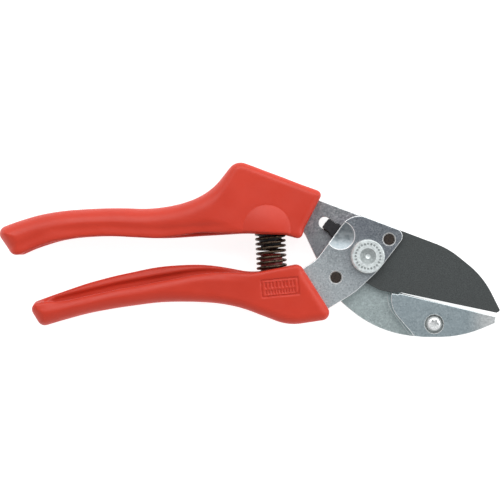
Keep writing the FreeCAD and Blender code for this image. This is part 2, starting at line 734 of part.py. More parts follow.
def main():
    doc = FreeCAD.newDocument("shears")
    fill_sheet(doc)
    shim_low = size("rear_plate_low") + size("sheet")
    split_low = size("rear_plate_low") - size("split_washer_thick")
    lock_low = size("rear_plate_low") - size("lock_washer_thick")
    parts = [
        build_upper_frame(doc),
        build_upper_grip(doc),
        build_lower_frame(doc),
        build_lower_grip(doc),
        build_blade(doc),
        build_rivet(doc, "blade_rivet_upper", UPPER_RIVET),
        build_rivet(doc, "blade_rivet_lower", LOWER_RIVET),
        build_anvil(doc),
        build_anvil_screw(doc),
        build_anvil_nut(doc),
        build_split_ring(doc, "anvil_lock_washer", "lock_washer_wide", "screw_wide",
                         "Sizes.lock_washer_thick", ANVIL_SCREW, lock_low),
        build_pivot_bolt(doc),
        build_ring(doc, "pivot_washer", "washer_wide", "shank_wide", "Sizes.washer_thick", PIVOT,
                   size("washer_low")),
        build_ring(doc, "pivot_shim", "shim_wide", "shank_wide", "Sizes.shim_thick", PIVOT, shim_low),
        build_split_ring(doc, "pivot_spring_washer", "shim_wide", "shank_wide", "Sizes.split_washer_thick",
                         PIVOT, split_low),
        build_pivot_nut(doc),
        build_return_spring(doc),
        build_peg(doc, "spring_buffer", 15.6, 14.0, 1.0),
        build_peg(doc, "spring_peg", -15.6, 15.0, 0.5),
        build_latch_slider(doc),
        build_latch_button(doc),
    ]
    doc.recompute()
    write_parts(doc, parts)


main()
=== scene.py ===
import math

import bmesh
import bpy
import numpy as np
import openvdb
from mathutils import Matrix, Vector


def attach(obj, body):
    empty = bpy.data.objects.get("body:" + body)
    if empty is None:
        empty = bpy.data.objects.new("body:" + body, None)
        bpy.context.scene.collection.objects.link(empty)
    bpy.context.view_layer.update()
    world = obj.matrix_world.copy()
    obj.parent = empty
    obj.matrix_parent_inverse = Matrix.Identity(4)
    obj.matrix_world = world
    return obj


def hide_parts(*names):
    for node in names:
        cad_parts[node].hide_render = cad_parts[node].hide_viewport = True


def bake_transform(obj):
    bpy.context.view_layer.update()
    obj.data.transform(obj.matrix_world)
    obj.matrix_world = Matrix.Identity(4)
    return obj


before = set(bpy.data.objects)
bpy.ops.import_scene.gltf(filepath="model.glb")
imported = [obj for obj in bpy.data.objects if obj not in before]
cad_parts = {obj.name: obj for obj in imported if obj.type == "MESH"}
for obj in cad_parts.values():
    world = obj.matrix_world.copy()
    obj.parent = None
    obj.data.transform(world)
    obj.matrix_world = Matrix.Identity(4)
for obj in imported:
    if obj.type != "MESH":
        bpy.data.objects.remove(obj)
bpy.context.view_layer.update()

# Sizes are written in millimetres, as in the CAD, and scaled by MM when a mesh is made. Each corner of an
# outline is its place and the radius that rounds it. A plate is its rear and front height.
MM = 0.001
ARC_STEP = 0.9  # longest step along a rounded corner
GRIP_DEPTH = 20.0
WALL = 3.9  # coating and sheet together
OPEN_SIDE = -9.0  # inset that lets a hollow run out through the open side of a channel
REAR_PLATE = (4.5, 7.0)
BLADE = (7.3, 10.3)
FRONT_PLATE = (10.3, 12.8)
ANVIL = (7.0, 11.6)
PIVOT = (51.7, -2.6)
BOLT_HEAD = (13.3, 15.8)
SHANK = 4.0  # radius of the pivot bolt
BORE = 4.05  # radius round the pivot bolt in the pieces that turn on it
THUMB_DISH = (39.8, 6.6)
UPPER_RIVET = (61.2, 4.9)
LOWER_RIVET = (37.8, -11.8)
RIVET = 2.4  # radius
ANVIL_SCREW = (81.1, -32.4)
SCREW = 2.0  # radius
SCREW_RECESS = 1.6  # depth of the recess round the screw head
BLADE_ANGLE = 12.0  # how far the cutting edge drops toward the tip, in degrees
BLADE_EDGE = 12.5  # distance of the cutting edge below the pivot
ANVIL_ANGLE = 13.4
ANVIL_EDGE = 12.65
SLOT_END = (33.1, 12.3)
SLOT_ANGLE = -37.0
SPRING_DOME = (7.3, 9.4)
STAMP = (13.1, -16.1)
SPRING_CENTRE = (9.3, -1.0)
SPRING_TILT = 3.0

UPPER_TOP = (
    (32.0, 25.4, 2.3), (-6.3, 39.7, 6.0), (-17.7, 24.9, 30.0), (-37.5, 18.0, 63.0),
    (-62.0, 18.8, 240.0), (-92.0, 16.9, 96.0), (-111.9, 8.9, 3.5), (-103.4, -3.1, 4.6),
    (-85.9, 4.8, 75.0), (-64.0, 6.5, 120.0),
)
UPPER_REAR_EDGE = ((-38.0, 5.2, 90.0), (-1.0, 7.6, 80.0))
UPPER_FRONT_EDGE = ((-40.0, 5.2, 40.0), (-22.0, 7.7, 40.0), (-4.0, 7.4, 40.0))
UPPER_NOSE = ((15.0, 6.9, 8.0), (22.4, 4.9, 2.2), (23.9, 9.9, 8.0))
LOWER_REAR_EDGE = ((-20.0, -5.6, 90.0), (-42.0, -7.4, 110.0), (-70.0, -13.6, 200.0), (-97.5, -23.5, 3.1))
LOWER_FRONT_EDGE = ((-21.0, -9.2, 60.0), (-58.0, -15.7, 120.0), (-86.0, -22.0, 40.0), (-97.5, -23.5, 3.1))
LOWER_NOSE = ((21.9, -5.9, 3.2), (1.0, -9.8, 25.0))
LOWER_BOTTOM = (
    (-91.6, -33.5, 3.2), (-69.5, -26.9, 190.0), (-35.0, -21.9, 125.0), (-7.0, -23.6, 65.0),
    (16.3, -32.9, 22.0), (37.2, -30.0, 3.5),
)


# ---------------------------------------------------------------- outlines

def from_pivot(angle, along, reach):
    """Point along a line that drops by the angle, at a distance below the pivot."""
    turn = math.radians(angle)
    x = PIVOT[0] + along * math.cos(turn) - reach * math.sin(turn)
    y = PIVOT[1] - along * math.sin(turn) - reach * math.cos(turn)
    return x, y


def head_top(x):
    """Height of the straight upper side of the head, which both plates and the blade share."""
    return 20.6 - 0.3766 * (x - 35.2)


def inset_corners(corners, insets):
    """Moves every side of an outline inward by its own distance and keeps the roundings concentric."""
    count = len(corners)
    sides = []
    for i in range(count):
        x0, y0 = corners[i][:2]
        x1, y1 = corners[(i + 1) % count][:2]
        length = math.hypot(x1 - x0, y1 - y0)
        ux = (x1 - x0) / length
        uy = (y1 - y0) / length
        sides.append((x0 - uy * insets[i], y0 + ux * insets[i], ux, uy))
    moved = []
    for i in range(count):
        ax, ay, aux, auy = sides[i - 1]
        bx, by, bux, buy = sides[i]
        cross = aux * buy - auy * bux
        reach = ((bx - ax) * buy - (by - ay) * bux) / cross
        radius = corners[i][2]
        if insets[i - 1] == insets[i]:
            radius -= math.copysign(insets[i], cross)
        else:
            radius = 0.5
        moved.append((ax + aux * reach, ay + auy * reach, max(radius, 0.4)))
    return moved


def trace(corners):
    """Points round an outline with rounded corners, close together on the arcs."""
    count = len(corners)
    points = []
    for i in range(count):
        x, y, radius = corners[i]
        here = Vector((x, y))
        before = (Vector(corners[i - 1][:2]) - here).normalized()
        after = (Vector(corners[(i + 1) % count][:2]) - here).normalized()
        if radius == 0:
            points.append(here)
            continue
        half = before.angle(after) / 2
        first = here + before * (radius / math.tan(half))
        last = here + after * (radius / math.tan(half))
        centre = here + (before + after).normalized() * (radius / math.sin(half))
        start = math.atan2(first.y - centre.y, first.x - centre.x)
        sweep = math.atan2(last.y - centre.y, last.x - centre.x) - start
        sweep = (sweep + math.pi) % (2 * math.pi) - math.pi
        steps = max(4, int(abs(sweep) * radius / ARC_STEP) + 1)
        for k in range(steps + 1):
            turn = start + sweep * k / steps
            points.append(centre + Vector((math.cos(turn), math.sin(turn))) * radius)
    return np.array([(p.x, p.y) for p in points])


def rear_plate_outline():
    return (
        (15.5, head_top(15.5), 2.0), (15.5, 13.8, 2.0), (20.2, 12.4, 2.0), (24.2, 7.4, 6.0),
        (29.8, -4.5, 20.0), (39.5, -22.2, 18.0), (58.7, -38.2, 50.0), (93.3, -38.2, 50.0),
        (104.6, -33.1, 1.0),
        from_pivot(ANVIL_ANGLE, 56, 13.0) + (1.0,), (65.2, -18.4, 3.0), (67.6, head_top(67.6), 12.0),
    )


def front_plate_outline():
    return (
        (17.5, -11.4, 1.0), (29.0, -28.9, 1.0), (46.0, -18.6, 40.0), (56.5, -8.8, 40.0), (69.2, 7.8, 3.4),
        (44.7, 17.0, 9.0), (29.3, -4.0, 12.0),
    )


def blade_outline():
    return (
        (47.1, head_top(47.1), 1.0), (49.2, 9.2, 0.5), (37.1, 5.7, 12.0), (40.1, -6.2, 2.0),
        (30.6, -10.3, 4.8), (36.3, -19.0, 4.8), (48.5, -12.8, 8.0), (57.6, -17.6, 5.0), (62.4, -18.6, 0.8),
        from_pivot(BLADE_ANGLE, 16.6, 13.0) + (0,), from_pivot(BLADE_ANGLE, 16.6, BLADE_EDGE) + (0,),
        from_pivot(BLADE_ANGLE, 61.0, BLADE_EDGE) + (0,),
        (110.4, -26.6, 0.8), (102.9, -11.6, 38.0), (87.5, head_top(87.5), 36.0),
    )


def anvil_outline():
    return (
        from_pivot(ANVIL_ANGLE, 17.2, 13.2) + (0.2,), (62.3, -18.9, 0.3), (62.0, -25.5, 12.0),
        (72.5, -37.75, 0.5), (76.1, -38.2, 15.0), (93.3, -38.2, 50.0), (107.9, -32.0, 1.0),
        from_pivot(ANVIL_ANGLE, 61.2, ANVIL_EDGE) + (0.5,),
        from_pivot(ANVIL_ANGLE, 17.4, ANVIL_EDGE) + (0.3,),
    )


# ---------------------------------------------------------------- distance fields

class Field:
    """A box of sample points, in millimetres, at one spacing."""

    def __init__(self, low, high, cell):
        self.low = np.array(low, float)
        self.cell = cell
        axes = [np.arange(a, b + cell, cell, dtype=np.float32) for a, b in zip(low, high)]
        self.x = axes[0][:, None, None]
        self.y = axes[1][None, :, None]
        self.z = axes[2][None, None, :]
        self.fx, self.fy = np.meshgrid(axes[0], axes[1], indexing="ij")

    def chain(self, points, closed=True):
        """Distance in the XY plane to a line through the points, negative inside a closed one."""
        ends = np.roll(points, -1, axis=0) if closed else points[1:]
        starts = points if closed else points[:-1]
        best = np.full(self.fx.shape, 1e9, np.float32)
        inside = np.zeros(self.fx.shape, bool)
        for (ax, ay), (bx, by) in zip(starts, ends):
            ex, ey = bx - ax, by - ay
            length = ex * ex + ey * ey
            if length < 1e-12:
                continue
            px = self.fx - ax
            py = self.fy - ay
            share = np.clip((px * ex + py * ey) / length, 0, 1)
            np.minimum(best, (px - ex * share) ** 2 + (py - ey * share) ** 2, out=best)
            if closed and ay != by:
                crosses = (ay > self.fy) != (by > self.fy)
                inside ^= crosses & (self.fx < ax + (self.fy - ay) * ex / ey)
        best = np.sqrt(best)
        if closed:
            best[inside] *= -1
        return best[:, :, None]

    def outline(self, corners):
        return self.chain(trace(corners))


def slab(flat, z, low, high, radius):
    """Upright wall of an outline between two heights, with rounded rims."""
    upright = np.maximum(z - high, low - z) + radius
    side = flat + radius
    outside = np.sqrt(np.maximum(side, 0) ** 2 + np.maximum(upright, 0) ** 2)
    return np.minimum(np.maximum(side, upright), 0) + outside - radius


def soft_max(a, b, width):
    share = np.maximum(width - np.abs(a - b), 0) / width
    return np.maximum(a, b) + share * share * width / 4


def soft_min(a, b, width):
    return -soft_max(-a, -b, width)


def smooth_step(low, high, value):
    share = np.clip((value - low) / (high - low), 0, 1)
    return share * share * (3 - 2 * share)


def piece_from_field(name, field, values):
    """Closed quad mesh of the surface where the values are zero."""
    grid = openvdb.FloatGrid(background=field.cell * 4)
    grid.copyFromArray(np.ascontiguousarray(values, np.float32))
    points, quads = grid.convertToQuads(isovalue=0.0)
    places = (np.asarray(points, float) * field.cell + field.low) * MM
    faces = np.asarray(quads, int)
    a, b, c = (places[faces[:, k]] for k in range(3))
    centre = places.mean(0)
    if np.einsum("ij,ij->i", np.cross(b - a, c - a), a - centre).sum() < 0:
        faces = faces[:, ::-1]
    return new_piece(name, places, faces)


def new_piece(name, places, faces, smooth=True):
    mesh = bpy.data.meshes.new(name)
    mesh.from_pydata([tuple(p) for p in places], [], [tuple(int(i) for i in f) for f in faces])
    mesh.validate()
    if smooth:
        mesh.shade_smooth()
    piece = bpy.data.objects.new(name, mesh)
    bpy.context.scene.collection.objects.link(piece)
    return piece


# ---------------------------------------------------------------- shapes

def ripple(x, y, z):
    """Slow unevenness of a dipped coating."""
    short = np.sin(x * 0.31 + 1.3) * np.sin(y * 0.37 + z * 0.21)
    long = np.sin(x * 0.13 - y * 0.23 + z * 0.3)
    return 0.05 * (short + 0.6 * long)


def grip_field(field, rear, front, open_line, insets, spine_rounding, crown, bead):
    """Outside and hollow of a coated channel that is open on one side.

    Its front wall ends at another line than its rear wall. The crown draws its two faces together, by that
    share for each millimetre away from the open side. The bead thickens the rear wall, most where it stands
    free of the front wall.
    """
    to_rear = field.outline(rear)
    to_front = field.outline(front)
    to_gap = field.chain(np.array([c[:2] for c in open_line]), closed=False)
    edge_rounding = 1.9
    radius = edge_rounding + (spine_rounding - edge_rounding) * smooth_step(0.0, 5.0, to_gap)
    share = smooth_step(8.0, 12.0, field.z)
    flat = to_rear * (1 - share) + to_front * share
    middle = GRIP_DEPTH / 2
    swollen = (field.z - middle) * (1 + crown * np.minimum(to_gap, 26.0)) + middle
    outer = slab(flat, swollen, 0.0, GRIP_DEPTH, radius)
    inner = field.outline(inset_corners(rear, insets))
    hollow = slab(inner, field.z, WALL, GRIP_DEPTH - WALL, 1.6)
    covered = 0.76  # share of the bead behind the front wall
    floor = WALL + bead * (covered + (1 - covered) * smooth_step(0.0, 2.8, to_front))
    return outer, soft_max(hollow, floor - field.z, 1.5)


def add_dome(field, rear, outer):
    """Barrel-shaped swelling over the top of the spring, with a fine crease round it."""
    rise, reach = 1.8, 10.4
    barrel = (reach * reach + rise * rise) / (2 * rise)
    x, y = SPRING_DOME
    past = np.maximum(field.y - y, 0)
    high = field.z - (GRIP_DEPTH + rise - barrel)
    dome = np.sqrt((field.x - x) ** 2 + past ** 2 + high ** 2) - barrel
    below = np.maximum(field.outline(rear) + 0.5, 14.0 - field.z)
    dome = soft_max(dome, below, 1.0)
    outer = soft_min(outer, dome, 0.3)
    crease_line = np.abs(np.hypot(field.x - x, past) - reach)
    return outer + 0.16 * (1 - smooth_step(0.0, 0.6, crease_line)) * (field.z > 15) * (field.y > 0)


def make_upper_grip():
    field = Field((-111.5, -5.0, -1.0), (33.0, 40.0, 23.0), 0.38)
    rear = UPPER_TOP + UPPER_REAR_EDGE + UPPER_NOSE
    front = UPPER_TOP + UPPER_FRONT_EDGE + UPPER_NOSE
    insets = [WALL] * 7 + [OPEN_SIDE] * 6 + [WALL] * 2
    rounding = 3.2 + 3.6 * (1 - smooth_step(-18.0, -3.0, field.x))
    outer, hollow = grip_field(field, rear, front, rear[7:14], insets, rounding, crown=0.0, bead=0.0)
    outer = add_dome(field, rear, outer)
    shape = soft_max(outer, -hollow, 2.2) + ripple(field.x, field.y, field.z)
    return piece_from_field("upper_grip_skin", field, shape)


def stamp_lines(field):
    """Where the lower grip has its sunk frame with two rows of plain short bars, from 0 to 1."""
    turn = math.radians(5.4)
    px = field.fx - STAMP[0]
    py = field.fy - STAMP[1]
    u = px * math.cos(turn) + py * math.sin(turn)
    v = -px * math.sin(turn) + py * math.cos(turn)
    edge = np.maximum(np.abs(u) - 8.0, np.abs(v) - 3.6)
    line = np.abs(edge) - 0.25
    for row, high, pitch, count in ((1.35, 1.2, 1.55, 9), (-1.75, 0.9, 1.25, 11)):
        for k in range(count):
            at = (k - (count - 1) / 2) * pitch
            bar = np.maximum(np.abs(u - at) - 0.3, np.abs(v - row) - high)
            line = np.minimum(line, bar)
    return (1 - smooth_step(-0.15, 0.3, line))[:, :, None]


def make_lower_grip():
    field = Field((-98.0, -35.5, -1.0), (36.5, -4.0, 21.0), 0.33)
    rear = LOWER_NOSE + LOWER_REAR_EDGE + LOWER_BOTTOM
    front = LOWER_NOSE + LOWER_FRONT_EDGE + LOWER_BOTTOM
    insets = [OPEN_SIDE] * 5 + [WALL] * 7
    rounding = 4.2 + 1.2 * (1 - smooth_step(-45.0, -5.0, field.x))
    outer, hollow = grip_field(field, rear, front, rear[:6], insets, rounding, crown=0.011, bead=6.0)
    closing = 0.7 * np.maximum(-86.0 - field.x, 0)  # narrows the hollow to an end before the tail
    hollow = hollow + closing
    shape = soft_max(outer, -hollow, 2.2) + ripple(field.x, field.y, field.z)
    stamp_depth = 0.55
    shape = shape + stamp_depth * stamp_lines(field) * (field.z > 14)
    return piece_from_field("lower_grip_skin", field, shape)


def finished_mesh(maker):
    """New mesh of a curve, or of a piece with its modifiers applied."""
    graph = bpy.context.evaluated_depsgraph_get()
    return bpy.data.meshes.new_from_object(maker.evaluated_get(graph))


def sheet_piece(name, outline, holes, low, high, rim):
    """Flat plate with rounded rims, cut to an outline, with holes."""
    curve = bpy.data.curves.new(name, "CURVE")
    curve.dimensions = "2D"
    curve.fill_mode = "BOTH"
    curve.extrude = (high - low) / 2 - rim
    curve.bevel_depth = rim
    curve.bevel_resolution = 3
    curve.offset = -rim
    for points in [outline] + [hole[::-1] for hole in holes]:
        spline = curve.splines.new("POLY")
        spline.points.add(len(points) - 1)
        for point, (x, y) in zip(spline.points, points):
            point.co = (x, y, 0, 1)
        spline.use_cyclic_u = True
    maker = bpy.data.objects.new(name, curve)
    bpy.context.scene.collection.objects.link(maker)
    mesh = finished_mesh(maker)
    bpy.data.objects.remove(maker)
    places = np.array([tuple(v.co) for v in mesh.vertices]) + (0, 0, (low + high) / 2)
    faces = [tuple(f.vertices) for f in mesh.polygons]
    bpy.data.meshes.remove(mesh)
    piece = new_piece(name, places * MM, faces)
    weld(piece)
    return piece


def weld(piece):
    """Joins doubled points and turns all faces outward."""
    work = bmesh.new()
    work.from_mesh(piece.data)
    bmesh.ops.remove_doubles(work, verts=work.verts, dist=0.000004)
    bmesh.ops.recalc_face_normals(work, faces=work.faces)
    work.to_mesh(piece.data)
    work.free()


def lathe(name, centre, profile, steps=96):
    """Solid turned about an upright axis from (radius, height) points; both ends lie on the axis."""
    inner = profile[1:-1]
    places = [(centre[0], centre[1], profile[0][1]), (centre[0], centre[1], profile[-1][1])]
    for radius, z in inner:
        for k in range(steps):
            turn = 2 * math.pi * k / steps
            places.append((centre[0] + radius * math.cos(turn), centre[1] + radius * math.sin(turn), z))
    faces = []
    last = 2 + (len(inner) - 1) * steps
    for k in range(steps):
        n = (k + 1) % steps
        faces.append((0, 2 + n, 2 + k))
        faces.append((1, last + k, last + n))
        for row in range(len(inner) - 1):
            low = 2 + row * steps
            faces.append((low + k, low + n, low + steps + n, low + steps + k))
    piece = new_piece(name, np.array(places) * MM, faces)
    weld(piece)
    return piece


def rounded_profile(corners):
    """Half outline of a turned part: sharp first and last point, the others rounded by their radius."""
    points = [tuple(corners[0][:2])]
    for i in range(1, len(corners) - 1):
        x, y, radius = corners[i]
        here = Vector((x, y))
        before = Vector(corners[i - 1][:2]) - here
        after = Vector(corners[i + 1][:2]) - here
        for k in range(6 if radius else 1):
            share = k / 5 if radius else 0
            a = here + before.normalized() * radius * (1 - share)
            b = here + after.normalized() * radius * share
            points.append(tuple(a + b - here))
    points.append(tuple(corners[-1][:2]))
    return points


def cut(piece, *cutters):
    """Takes the cutters away from the piece."""
    for cutter in cutters:
        step = piece.modifiers.new("cut", "BOOLEAN")
        step.operation = "DIFFERENCE"
        step.solver = "EXACT"
        step.object = cutter
    mesh = finished_mesh(piece)
    piece.modifiers.clear()
    piece.data = mesh
    for cutter in cutters:
        bpy.data.objects.remove(cutter)


def crease(piece, angle=28.0):
    """Keeps flat faces flat: hard shading where the surface turns by more than the angle."""
    mesh = piece.data
    mesh.shade_smooth()
    mesh.set_sharp_from_angle(angle=math.radians(angle))
    work = bmesh.new()
    work.from_mesh(mesh)
    for edge in work.edges:
        if len(edge.link_faces) == 2:
            flat = [abs(face.normal.z) > 0.9999 for face in edge.link_faces]
            if flat[0] != flat[1]:
                edge.smooth = False
    work.to_mesh(mesh)
    work.free()


def mark_faces(piece, test, index=1):
    """Gives the faces that pass the test another of the piece's materials."""
    for face in piece.data.polygons:
        if test(face.center / MM, face.normal):
            face.material_index = index


def mark_rims(piece):
    """Gives the sheared rims a brighter material: a painted highlight along the edges."""
    mark_faces(piece, lambda place, normal: 0.12 < normal.z < 0.87)


def beside(place, outline, reach):
    """Whether a place, seen from the front, lies within reach of a closed outline."""
    flat = place.xy
    for start, end in zip(outline, np.roll(outline, -1, axis=0)):
        along = Vector(end - start)
        share = max(0.0, min(1.0, (flat - Vector(start)).dot(along) / along.length_squared))
        if (flat - Vector(start) - along * share).length < reach:
            return True
    return False


def circle(centre, radius, steps=72):
    turns = [2 * math.pi * k / steps for k in range(steps)]
    return np.array([(centre[0] + radius * math.cos(t), centre[1] + radius * math.sin(t)) for t in turns])


def slot_place(along, side):
    """Point given along and across the catch's slot."""
    turn = math.radians(SLOT_ANGLE)
    x = SLOT_END[0] + along * math.cos(turn) - side * math.sin(turn)
    y = SLOT_END[1] + along * math.sin(turn) + side * math.cos(turn)
    return x, y


def slot_line(start, finish, width):
    """Outline with two half-round ends, along the catch's slot."""
    half = width / 2
    near, far = start - half, finish + half
    corners = []
    for along, side in ((near, -half), (far, -half), (far, half), (near, half)):
        corners.append(slot_place(along, side) + (half - 0.01,))
    return trace(corners)


def turning_holes():
    """Holes for the pivot bolt and the rivets, alike in the blade and the front plate."""
    return [circle(PIVOT, BORE), circle(UPPER_RIVET, RIVET), circle(LOWER_RIVET, RIVET)]


def make_upper_plate():
    low, high = REAR_PLATE
    holes = [slot_line(0.0, 7.6, 5.2), circle(PIVOT, SHANK), circle(ANVIL_SCREW, SCREW)]
    piece = sheet_piece("upper_head_plate", trace(rear_plate_outline()), holes, low, high, 0.35)
    crease(piece)
    mark_rims(piece)
    return piece


def dish_cutter():
    """Shallow bowl for the thumb with a chamfered rim, reaching past the edge of the plate."""
    radius, deep, chamfer, rings = 6.1, 1.2, 0.22, 24
    top = FRONT_PLATE[1]
    sphere = (radius * radius + deep * deep) / (2 * deep)
    profile = [(0, top + 1.0), (radius + 1.1, top + 1.0), (radius + 0.3, top), (radius, top - chamfer)]
    for k in range(1, rings + 1):
        reach = radius * (1 - k / rings)
        profile.append((reach, top - chamfer - deep + sphere - math.sqrt(sphere * sphere - reach * reach)))
    return lathe("dish", THUMB_DISH, profile, 120)


def rivet_rim(place):
    """Chamfer round a rivet in the front plate."""
    top = FRONT_PLATE[1]
    return lathe("rim", place, [(0, top - 0.42), (2.42, top - 0.42), (3.35, top + 0.28), (0, top + 0.28)])


def make_lower_plate():
    """Its second material paints a highlight on the rims, and its third paints shade in the dish."""
    low, high = FRONT_PLATE
    outline = trace(front_plate_outline())
    piece = sheet_piece("lower_head_plate", outline, turning_holes(), low, high, 0.38)
    cut(piece, dish_cutter(), rivet_rim(UPPER_RIVET), rivet_rim(LOWER_RIVET))
    crease(piece)
    mark_rims(piece)
    dish = Vector(THUMB_DISH)
    rim_width = 0.36

    def in_dish(place, normal):
        return (place.xy - dish).length < 6.0 and 0.3 < high - place.z < 1.5 and normal.z > 0.5

    # The dish faces get the darker third material: painted shade.
    mark_faces(piece, in_dish, 2)
    # Dish faces at the plate's edge get the rim material too: a painted highlight.
    mark_faces(piece, lambda place, normal: in_dish(place, normal) and beside(place, outline, rim_width))
    return piece


def bevel_cutter():
    """Wedge that grinds the straight cutting edge from the rear, 5 mm wide."""
    low = BLADE[0]
    places = []
    for along in (18.0, 80.0):
        for inside, z in ((5.0, low), (5.0, low - 1.0), (-1.0, low - 1.0), (-1.0, low + 3.24)):
            x, y = from_pivot(BLADE_ANGLE, along, BLADE_EDGE - inside)
            places.append((x, y, z))
    faces = [(0, 1, 2, 3), (7, 6, 5, 4)]
    for k in range(4):
        n = (k + 1) % 4
        faces.append((k, 4 + k, 4 + n, n))
    piece = new_piece("wedge", np.array(places) * MM, faces, False)
    weld(piece)
    return piece


def make_blade():
    low, high = BLADE
    piece = sheet_piece("blade_body", trace(blade_outline()), turning_holes(), low, high, 0.16)
    cut(piece, bevel_cutter())
    crease(piece)
    return piece


def make_anvil():
    """Its second material paints a highlight on the rims, and its third paints shade in the recess round
    the screw.
    """
    low, high = ANVIL
    piece = sheet_piece("anvil_body", trace(anvil_outline()), [circle(ANVIL_SCREW, SCREW)], low, high, 0.3)
    seat = high - SCREW_RECESS
    profile = rounded_profile((
        (0, seat, 0), (4.2, seat, 0.3), (4.2, high - 0.12, 0), (4.45, high + 0.13, 0),
        (4.45, high + 1, 0), (0, high + 1, 0),
    ))
    cut(piece, lathe("recess", ANVIL_SCREW, profile))
    crease(piece)
    mark_rims(piece)
    centre = Vector(ANVIL_SCREW)
    # The recess round the screw gets the third material: painted shade.
    mark_faces(piece, lambda place, normal: place.z < high - 0.2 and (place.xy - centre).length < 4.25, 2)
    return piece


def make_anvil_seat():
    """Thin step under the anvil that shows past its inner edge."""
    high = REAR_PLATE[1]
    outline = (
        (65.6, -19.4, 0.2), (60.7, -19.0, 0.3), (60.8, -24.4, 12.0), (70.6, -37.2, 0.5), (76.1, -37.8, 1.0),
        (92.0, -37.8, 1.0),
    )
    holes = [circle(ANVIL_SCREW, SCREW)]
    piece = sheet_piece("anvil_seat", trace(outline), holes, high - 0.4, high + 0.24, 0.2)
    crease(piece)
    mark_rims(piece)
    return piece


def make_pivot_bolt():
    """Round head with a dimple and a ring of plain dots. Its second material paints shade on what is sunk
    in it.
    """
    low, top = BOLT_HEAD
    profile = rounded_profile((
        (0, 0.4, 0), (3.7, 0.4, 0), (SHANK, 0.7, 0), (SHANK, low, 0), (7.35, low, 0.15), (7.35, top, 0.55),
        (3.5, top, 0.1), (3.3, top - 0.22, 0.08), (0.9, top - 0.3, 0.2), (0.5, top - 0.55, 0.1),
        (0, top - 0.6, 0),
    ))
    piece = lathe("pivot_bolt_body", PIVOT, profile, 144)
    dot = [(0, top - 0.22), (0.36, top - 0.16), (0.58, top + 0.1), (0, top + 0.1)]
    cut(piece, *[lathe("dot", place, dot, 20) for place in circle(PIVOT, 5.45, 24)])
    crease(piece, 34.0)
    centre = Vector(PIVOT)

    def sunk(place, normal):
        return low < place.z < top - 0.01 and 1.6 < (place.xy - centre).length < 6.2

    mark_faces(piece, sunk)
    return piece


def make_anvil_screw():
    """Low round head with a six-pointed socket."""
    seat = ANVIL[1] - SCREW_RECESS
    profile = rounded_profile((
        (0, 1.2, 0), (1.7, 1.2, 0), (SCREW, 1.5, 0), (SCREW, seat, 0), (3.35, seat, 0.1),
        (3.35, seat + 1.2, 0.8), (2.2, seat + 2.05, 0.4), (0, seat + 2.2, 0),
    ))
    steps = 120
    piece = lathe("anvil_screw_body", ANVIL_SCREW, profile, steps)
    star = []
    for k in range(steps):
        turn = 2 * math.pi * k / steps
        reach = 1.75 + 0.33 * math.cos(6 * turn)
        star.append((ANVIL_SCREW[0] + reach * math.cos(turn), ANVIL_SCREW[1] + reach * math.sin(turn)))
    cut(piece, sheet_piece("star", np.array(star), [], seat + 0.6, seat + 4.0, 0.05))
    crease(piece, 34.0)
    return piece


def make_latch():
    """Catch bar between the head plates."""
    corners = []
    for along, side, radius in (
        (0.2, -2.45, 0.5), (4.0, -2.45, 0.5), (4.8, -3.2, 0.5), (8.6, -3.2, 0.9),
        (8.6, 3.2, 0.9), (4.8, 3.2, 0.5), (4.0, 2.45, 0.5), (0.2, 2.45, 0.5),
    ):
        corners.append(slot_place(along, side) + (radius,))
    piece = sheet_piece("latch_bar", trace(corners), [], 7.3, 10.0, 0.3)
    crease(piece)
    return piece


def make_latch_boss():
    """Boss of the catch in the slot of the rear plate."""
    piece = sheet_piece("latch_boss", slot_line(2.7, 7.5, 5.1), [], 3.8, 7.5, 0.1)
    crease(piece)
    return piece


def make_washer():
    """Thin washer under the bolt head, a little wider than the head."""
    centre = (PIVOT[0] - 0.3, PIVOT[1] - 0.1)
    high = BOLT_HEAD[0]
    piece = sheet_piece("washer_body", circle(centre, 7.65, 120), [circle(centre, 4.4)], 12.85, high, 0.12)
    crease(piece)
    return piece


def make_peg(name, foot, tip, bevel):
    """Peg with a rounded end inside the spring, standing at the foot's distance along the spring's axis."""
    radius = 5.0
    corners = (
        (0, -2.4, 0), (radius, -2.4, 0), (radius, tip - bevel, 1.2), (radius - bevel * 0.8, tip, 0.8),
        (0, tip, 0),
    )
    piece = lathe(name, (0.0, 0.0), rounded_profile(corners), 72)
    tilt = math.radians(SPRING_TILT)
    axis = Vector((-math.sin(tilt), math.cos(tilt), 0))
    start = Vector((SPRING_CENTRE[0], SPRING_CENTRE[1], GRIP_DEPTH / 2)) + axis * foot
    forward = axis * (-1 if foot > 0 else 1)
    across = Vector((0, 0, 1)).cross(forward)
    for vertex in piece.data.vertices:
        x, y, z = vertex.co / MM
        vertex.co = (start + across * x + Vector((0, 0, 1)) * y + forward * z) * MM
    weld(piece)
    crease(piece, 40.0)
    return piece


